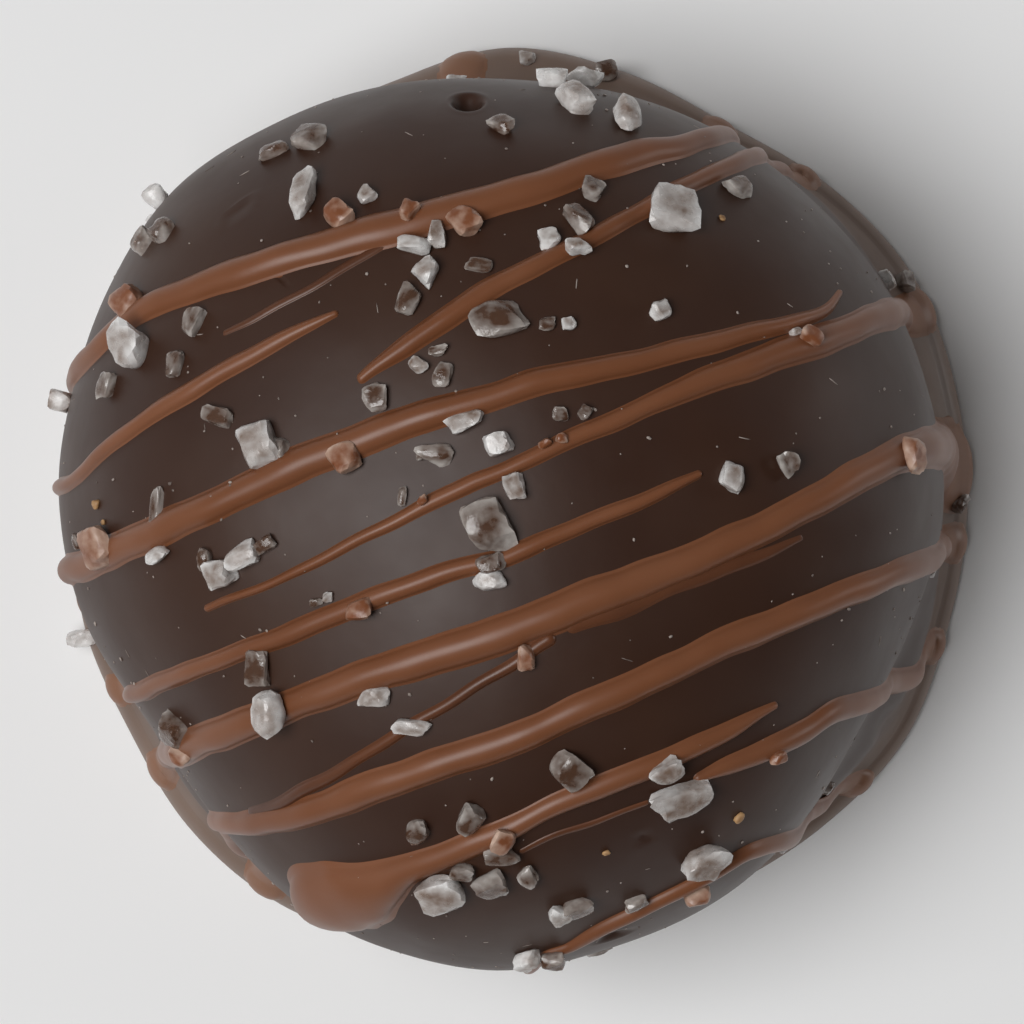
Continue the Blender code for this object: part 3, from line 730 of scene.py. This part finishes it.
def crystal_frost_group():
    """Frost in a crystal: whiteness broken up by fine veins, and a rough, pitted face."""
    group, entry, exit_node = new_group(
        "crystal frost",
        (("Whiteness", "NodeSocketFloat", 0.5),
         ("Clear", "NodeSocketColor", (0.9, 0.9, 0.9, 1.0)),
         ("Milky", "NodeSocketColor", (1.0, 1.0, 1.0, 1.0)),
         ("Gloss Low", "NodeSocketFloat", 0.15),
         ("Gloss High", "NodeSocketFloat", 0.5)),
        (("Colour", "NodeSocketColor"), ("Roughness", "NodeSocketFloat"), ("Relief", "NodeSocketFloat")))
    place = group.nodes.new("ShaderNodeTexCoord").outputs["Object"]
    veins = ranged(group, noise_node(group, place, 2600.0, 4.0), 0.3, 0.7, -0.16, 0.16)
    broken = group.nodes.new("ShaderNodeMath")
    broken.operation = "ADD"
    broken.use_clamp = True
    group.links.new(entry.outputs["Whiteness"], broken.inputs[0])
    group.links.new(veins, broken.inputs[1])
    colour = blended(group, broken.outputs[0], entry.outputs["Clear"], entry.outputs["Milky"])
    gloss = ranged(group, noise_node(group, place, 1900.0, 3.0), 0.35, 0.65,
                   entry.outputs["Gloss Low"], entry.outputs["Gloss High"])
    group.links.new(colour, exit_node.inputs["Colour"])
    group.links.new(gloss, exit_node.inputs["Roughness"])
    group.links.new(noise_node(group, place, 1700.0, 5.0), exit_node.inputs["Relief"])
    return group


CRYSTAL_FROST = crystal_frost_group()


def crystal(name, clear, milky, gloss, see_through, relief_mm):
    """A salt material: its two tones, (low, high) roughness, how clear it is, and its pitting."""
    made = bpy.data.materials.new(name)
    made.use_nodes = True
    tree = made.node_tree
    shader = tree.nodes["Principled BSDF"]
    frost = tree.nodes.new("ShaderNodeGroup")
    frost.node_tree = CRYSTAL_FROST
    frost.inputs["Clear"].default_value = clear
    frost.inputs["Milky"].default_value = milky
    frost.inputs["Gloss Low"].default_value = gloss[0]
    frost.inputs["Gloss High"].default_value = gloss[1]
    white = tree.nodes.new("ShaderNodeAttribute")
    white.attribute_name = "whiteness"
    bump = tree.nodes.new("ShaderNodeBump")
    bump.inputs["Strength"].default_value = 1.0
    bump.inputs["Distance"].default_value = relief_mm * MM
    tree.links.new(white.outputs["Fac"], frost.inputs["Whiteness"])
    tree.links.new(frost.outputs["Relief"], bump.inputs["Height"])
    tree.links.new(frost.outputs["Colour"], shader.inputs["Base Color"])
    tree.links.new(frost.outputs["Roughness"], shader.inputs["Roughness"])
    tree.links.new(bump.outputs["Normal"], shader.inputs["Normal"])
    shader.inputs["IOR"].default_value = 1.5
    shader.inputs["Transmission Weight"].default_value = see_through
    return made


white_salt = crystal("white salt", linear(136, 114, 100), linear(250, 248, 246), (0.12, 0.36),
                     0.25, 0.06)
clear_salt = crystal("clear salt", linear(104, 74, 57), linear(240, 233, 226), (0.06, 0.24),
                     0.45, 0.06)
coated_salt = crystal("milk coated salt", linear(122, 72, 44), linear(206, 180, 162), (0.28, 0.42),
                      0.0, 0.04)
# Each kind: its grains, seed, how crisp its edges are, the share of a grain's height that is sunk
# in the coat, the range of whiteness in the middle of a grain, its material and its slot.
SALT_KINDS = (
    ("salt_white", WHITE_GRAINS + tuple(wall_grains[:WHITE_ON_WALL]), 300, 12.0, 0.2, (0.1, 0.6),
     white_salt, "sea_salt"),
    ("salt_clear", CLEAR_GRAINS + tuple(wall_grains[WHITE_ON_WALL:]), 500, 10.0, 0.24, (-0.1, 0.2),
     clear_salt, "sea_salt"),
    ("salt_coated", COATED_GRAINS, 700, 7.0, 0.25, (-0.1, 0.2), coated_salt, "milk_chocolate"),
)
for name, grains, seed, crispness, sunk, middles, finish, slot in SALT_KINDS:
    grain_points, grain_faces, grain_white = grain_mesh(grains, seed, crispness, sunk, middles)
    salt = mesh_piece(name, grain_points, grain_faces, finish)
    salt.data.set_sharp_from_angle(angle=math.radians(CRYSTAL_EDGE_DEGREES))
    salt.data.attributes.new("whiteness", "FLOAT", "POINT").data.foreach_set("value", grain_white)
    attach(salt, "root")


# Salt dust and crumbs. Rubbing in the tub makes fine salt dust, which sticks to the whole coat
# as specks and short slivers, and a few tan crumbs of raw sugar came with it.

DUST_COUNT = 420
SLIVER_COUNT = 36
DUST_REACH = 28.0  # how far from the top the dust got, along the coat
CRUMBS = ((crown(-15.9, 0.3), 0.55, 0.4, 0.3, 20), (crown(8.9, -11.7), 0.55, 0.45, 0.3, 60),
          (crown(8.3, 11.3), 0.35, 0.3, 0.2, 0), (crown(3.8, -13.0), 0.35, 0.3, 0.2, 40),
          (crown(-15.6, -0.4), 0.3, 0.25, 0.2, 10))
dust_dice = np.random.default_rng(41)
dust = []
for number in range(DUST_COUNT + SLIVER_COUNT):
    way = DUST_REACH * math.sqrt(dust_dice.uniform())
    direction_round = dust_dice.uniform(0, 2 * math.pi)
    size = 0.06 + 0.10 * dust_dice.uniform() ** 3
    length = size * dust_dice.uniform(1.0, 1.6)
    if number >= DUST_COUNT:
        length, size = dust_dice.uniform(0.25, 0.65), 0.05
    at_map = way * math.cos(direction_round), way * math.sin(direction_round)
    dust.append((at_map, length, size, size * 0.7, dust_dice.uniform(0, 180)))
dust_finish = crystal("salt dust", linear(84, 70, 62), linear(170, 158, 150), (0.5, 0.7), 0.0, 0.0)
crumb_finish = crystal("tan crumb", linear(120, 82, 50), linear(190, 150, 104), (0.5, 0.7), 0.0, 0.02)
for name, specks, seed, middles, finish, levels in (
        ("salt_dust", dust, 900, (0.0, 0.9), dust_finish, 1),
        ("tan_crumbs", CRUMBS, 1500, (0.3, 0.6), crumb_finish, 2)):
    speck_points, speck_faces, speck_white = grain_mesh(specks, seed, 8.0, 0.3, middles, levels)
    small = mesh_piece(name, speck_points, speck_faces, finish)
    small.data.attributes.new("whiteness", "FLOAT", "POINT").data.foreach_set("value", speck_white)
    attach(small, "root")


# Floor, light and camera. The sweet stands on a plain white board in a soft studio: a wide lamp
# hangs high on the left, a small one stands low on the right, and dim walls, brightest towards
# the window at the upper left, light its sides. The camera looks straight down.

board_mesh = bpy.data.meshes.new("board")
board_mesh.from_pydata([(-0.5, -0.5, 0.0), (0.5, -0.5, 0.0), (0.5, 0.5, 0.0), (-0.5, 0.5, 0.0)], [],
                       [(0, 1, 2, 3)])
board = bpy.data.objects.new("board", board_mesh)
bpy.context.scene.collection.objects.link(board)
board_finish = bpy.data.materials.new("white board")
board_finish.use_nodes = True
board_shader = board_finish.node_tree.nodes["Principled BSDF"]
board_shader.inputs["Base Color"].default_value = (0.9, 0.9, 0.9, 1.0)
board_shader.inputs["Roughness"].default_value = 0.9
board_mesh.materials.append(board_finish)

studio = bpy.data.worlds.new("studio")
bpy.context.scene.world = studio
studio.use_nodes = True
room = studio.node_tree
direction = room.nodes.new("ShaderNodeTexCoord")
split = room.nodes.new("ShaderNodeSeparateXYZ")
room.links.new(direction.outputs["Generated"], split.inputs["Vector"])
walls_to_ceiling = ranged(room, split.outputs["Z"], 0.35, 0.97, 0.14, 0.03)
towards_window = room.nodes.new("ShaderNodeVectorMath")
towards_window.operation = "DOT_PRODUCT"
towards_window.inputs[1].default_value = (-0.87, 0.5, 0.0)
room.links.new(direction.outputs["Generated"], towards_window.inputs[0])
window_side = ranged(room, towards_window.outputs["Value"], -1.0, 1.0, 0.4, 1.75)
brightness = room.nodes.new("ShaderNodeMath")
brightness.operation = "MULTIPLY"
room.links.new(walls_to_ceiling, brightness.inputs[0])
room.links.new(window_side, brightness.inputs[1])
background = room.nodes["Background"]
background.inputs["Color"].default_value = (1.0, 1.0, 1.0, 1.0)
room.links.new(brightness.outputs[0], background.inputs["Strength"])


def soft_lamp(name, place, size, watts):
    """A square white area lamp that faces the sweet."""
    lamp = bpy.data.lights.new(name, "AREA")
    lamp.shape = "SQUARE"
    lamp.size = size
    lamp.energy = watts
    holder = bpy.data.objects.new(name, lamp)
    bpy.context.scene.collection.objects.link(holder)
    holder.location = place
    aim = np.array((0.0, 0.0, 0.012)) - np.array(place)
    flat = math.hypot(aim[0], aim[1])
    holder.rotation_euler = (math.atan2(flat, -aim[2]), 0.0, math.atan2(aim[1], aim[0]) - math.pi / 2)


soft_lamp("left_window", (-0.26, -0.05, 0.62), 0.40, 3.9)
soft_lamp("right_wall", (0.50, 0.12, 0.02), 0.20, 0.45)

eye = bpy.data.cameras.new("overhead")
eye.sensor_width = 36.0
eye.lens = 193.4
eye.clip_start = 0.01
overhead = bpy.data.objects.new("overhead", eye)
overhead.location = (0.0002, 0.0, 0.2315)
bpy.context.scene.collection.objects.link(overhead)
bpy.context.scene.camera = overhead

bpy.context.scene.view_settings.view_transform = "Standard"
